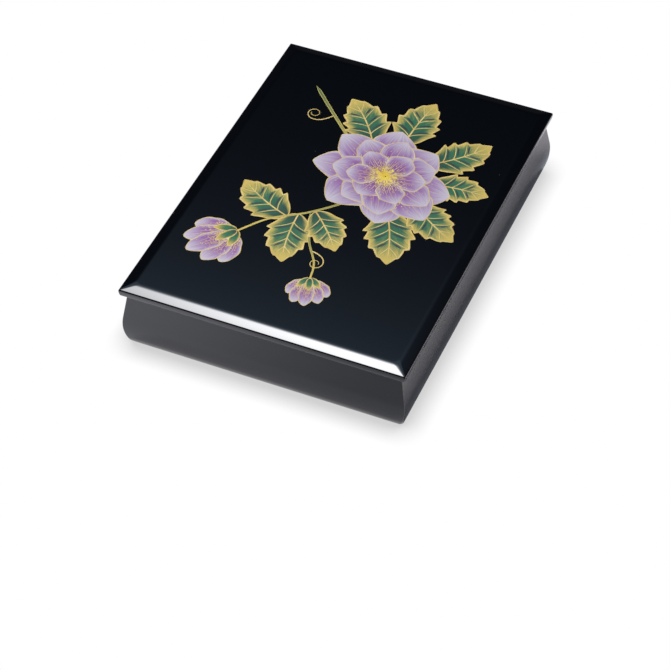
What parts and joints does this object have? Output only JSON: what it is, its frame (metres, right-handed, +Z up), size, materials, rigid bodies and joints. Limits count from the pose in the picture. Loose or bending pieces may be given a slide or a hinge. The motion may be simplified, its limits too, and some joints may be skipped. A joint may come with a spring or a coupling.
{
  "type": "document box",
  "caption": "Low lacquered box for A4 papers, with bellied mitred walls and a flat bevelled lid that overhangs them and lifts straight off.",
  "frame": {"origin": "on the table under the middle of the closed box", "axes": "+Z up, +Y from the short front side to the back, +X to the right of someone facing the front"},
  "size_m": [0.25, 0.34, 0.066],
  "materials": {
    "black_lacquer": "mirror-polished black lacquer over wood",
    "inside_lacquer": "satin black lacquer over wood",
    "bare_wood": "bare planed wood and bamboo, hidden in the joints",
    "felt": "dense pressed wool felt",
    "gold_line": "gold powder set in fine engraved lines",
    "flower_pigment": "coloured lacquer and powder painted on the lid"
  },
  "bodies": {
    "box": {"front_wall": "black_lacquer", "back_wall": "black_lacquer", "left_wall": "black_lacquer", "right_wall": "black_lacquer", "bottom_panel": "inside_lacquer", "corner_key_front_left": "bare_wood", "corner_key_front_right": "bare_wood", "corner_key_back_left": "bare_wood", "corner_key_back_right": "bare_wood", "floor_lining": "felt"},
    "lid": {"lid_board": "black_lacquer", "lid_strip_front": "inside_lacquer", "lid_strip_back": "inside_lacquer", "lid_strip_left": "inside_lacquer", "lid_strip_right": "inside_lacquer", "lid_pegs": "bare_wood"}
  },
  "joints": [
    {"name": "lid_lift", "type": "slide", "parent": "box", "child": "lid", "axis": [0, 0, 1], "range_m": [0, 0.12]}
  ]
}
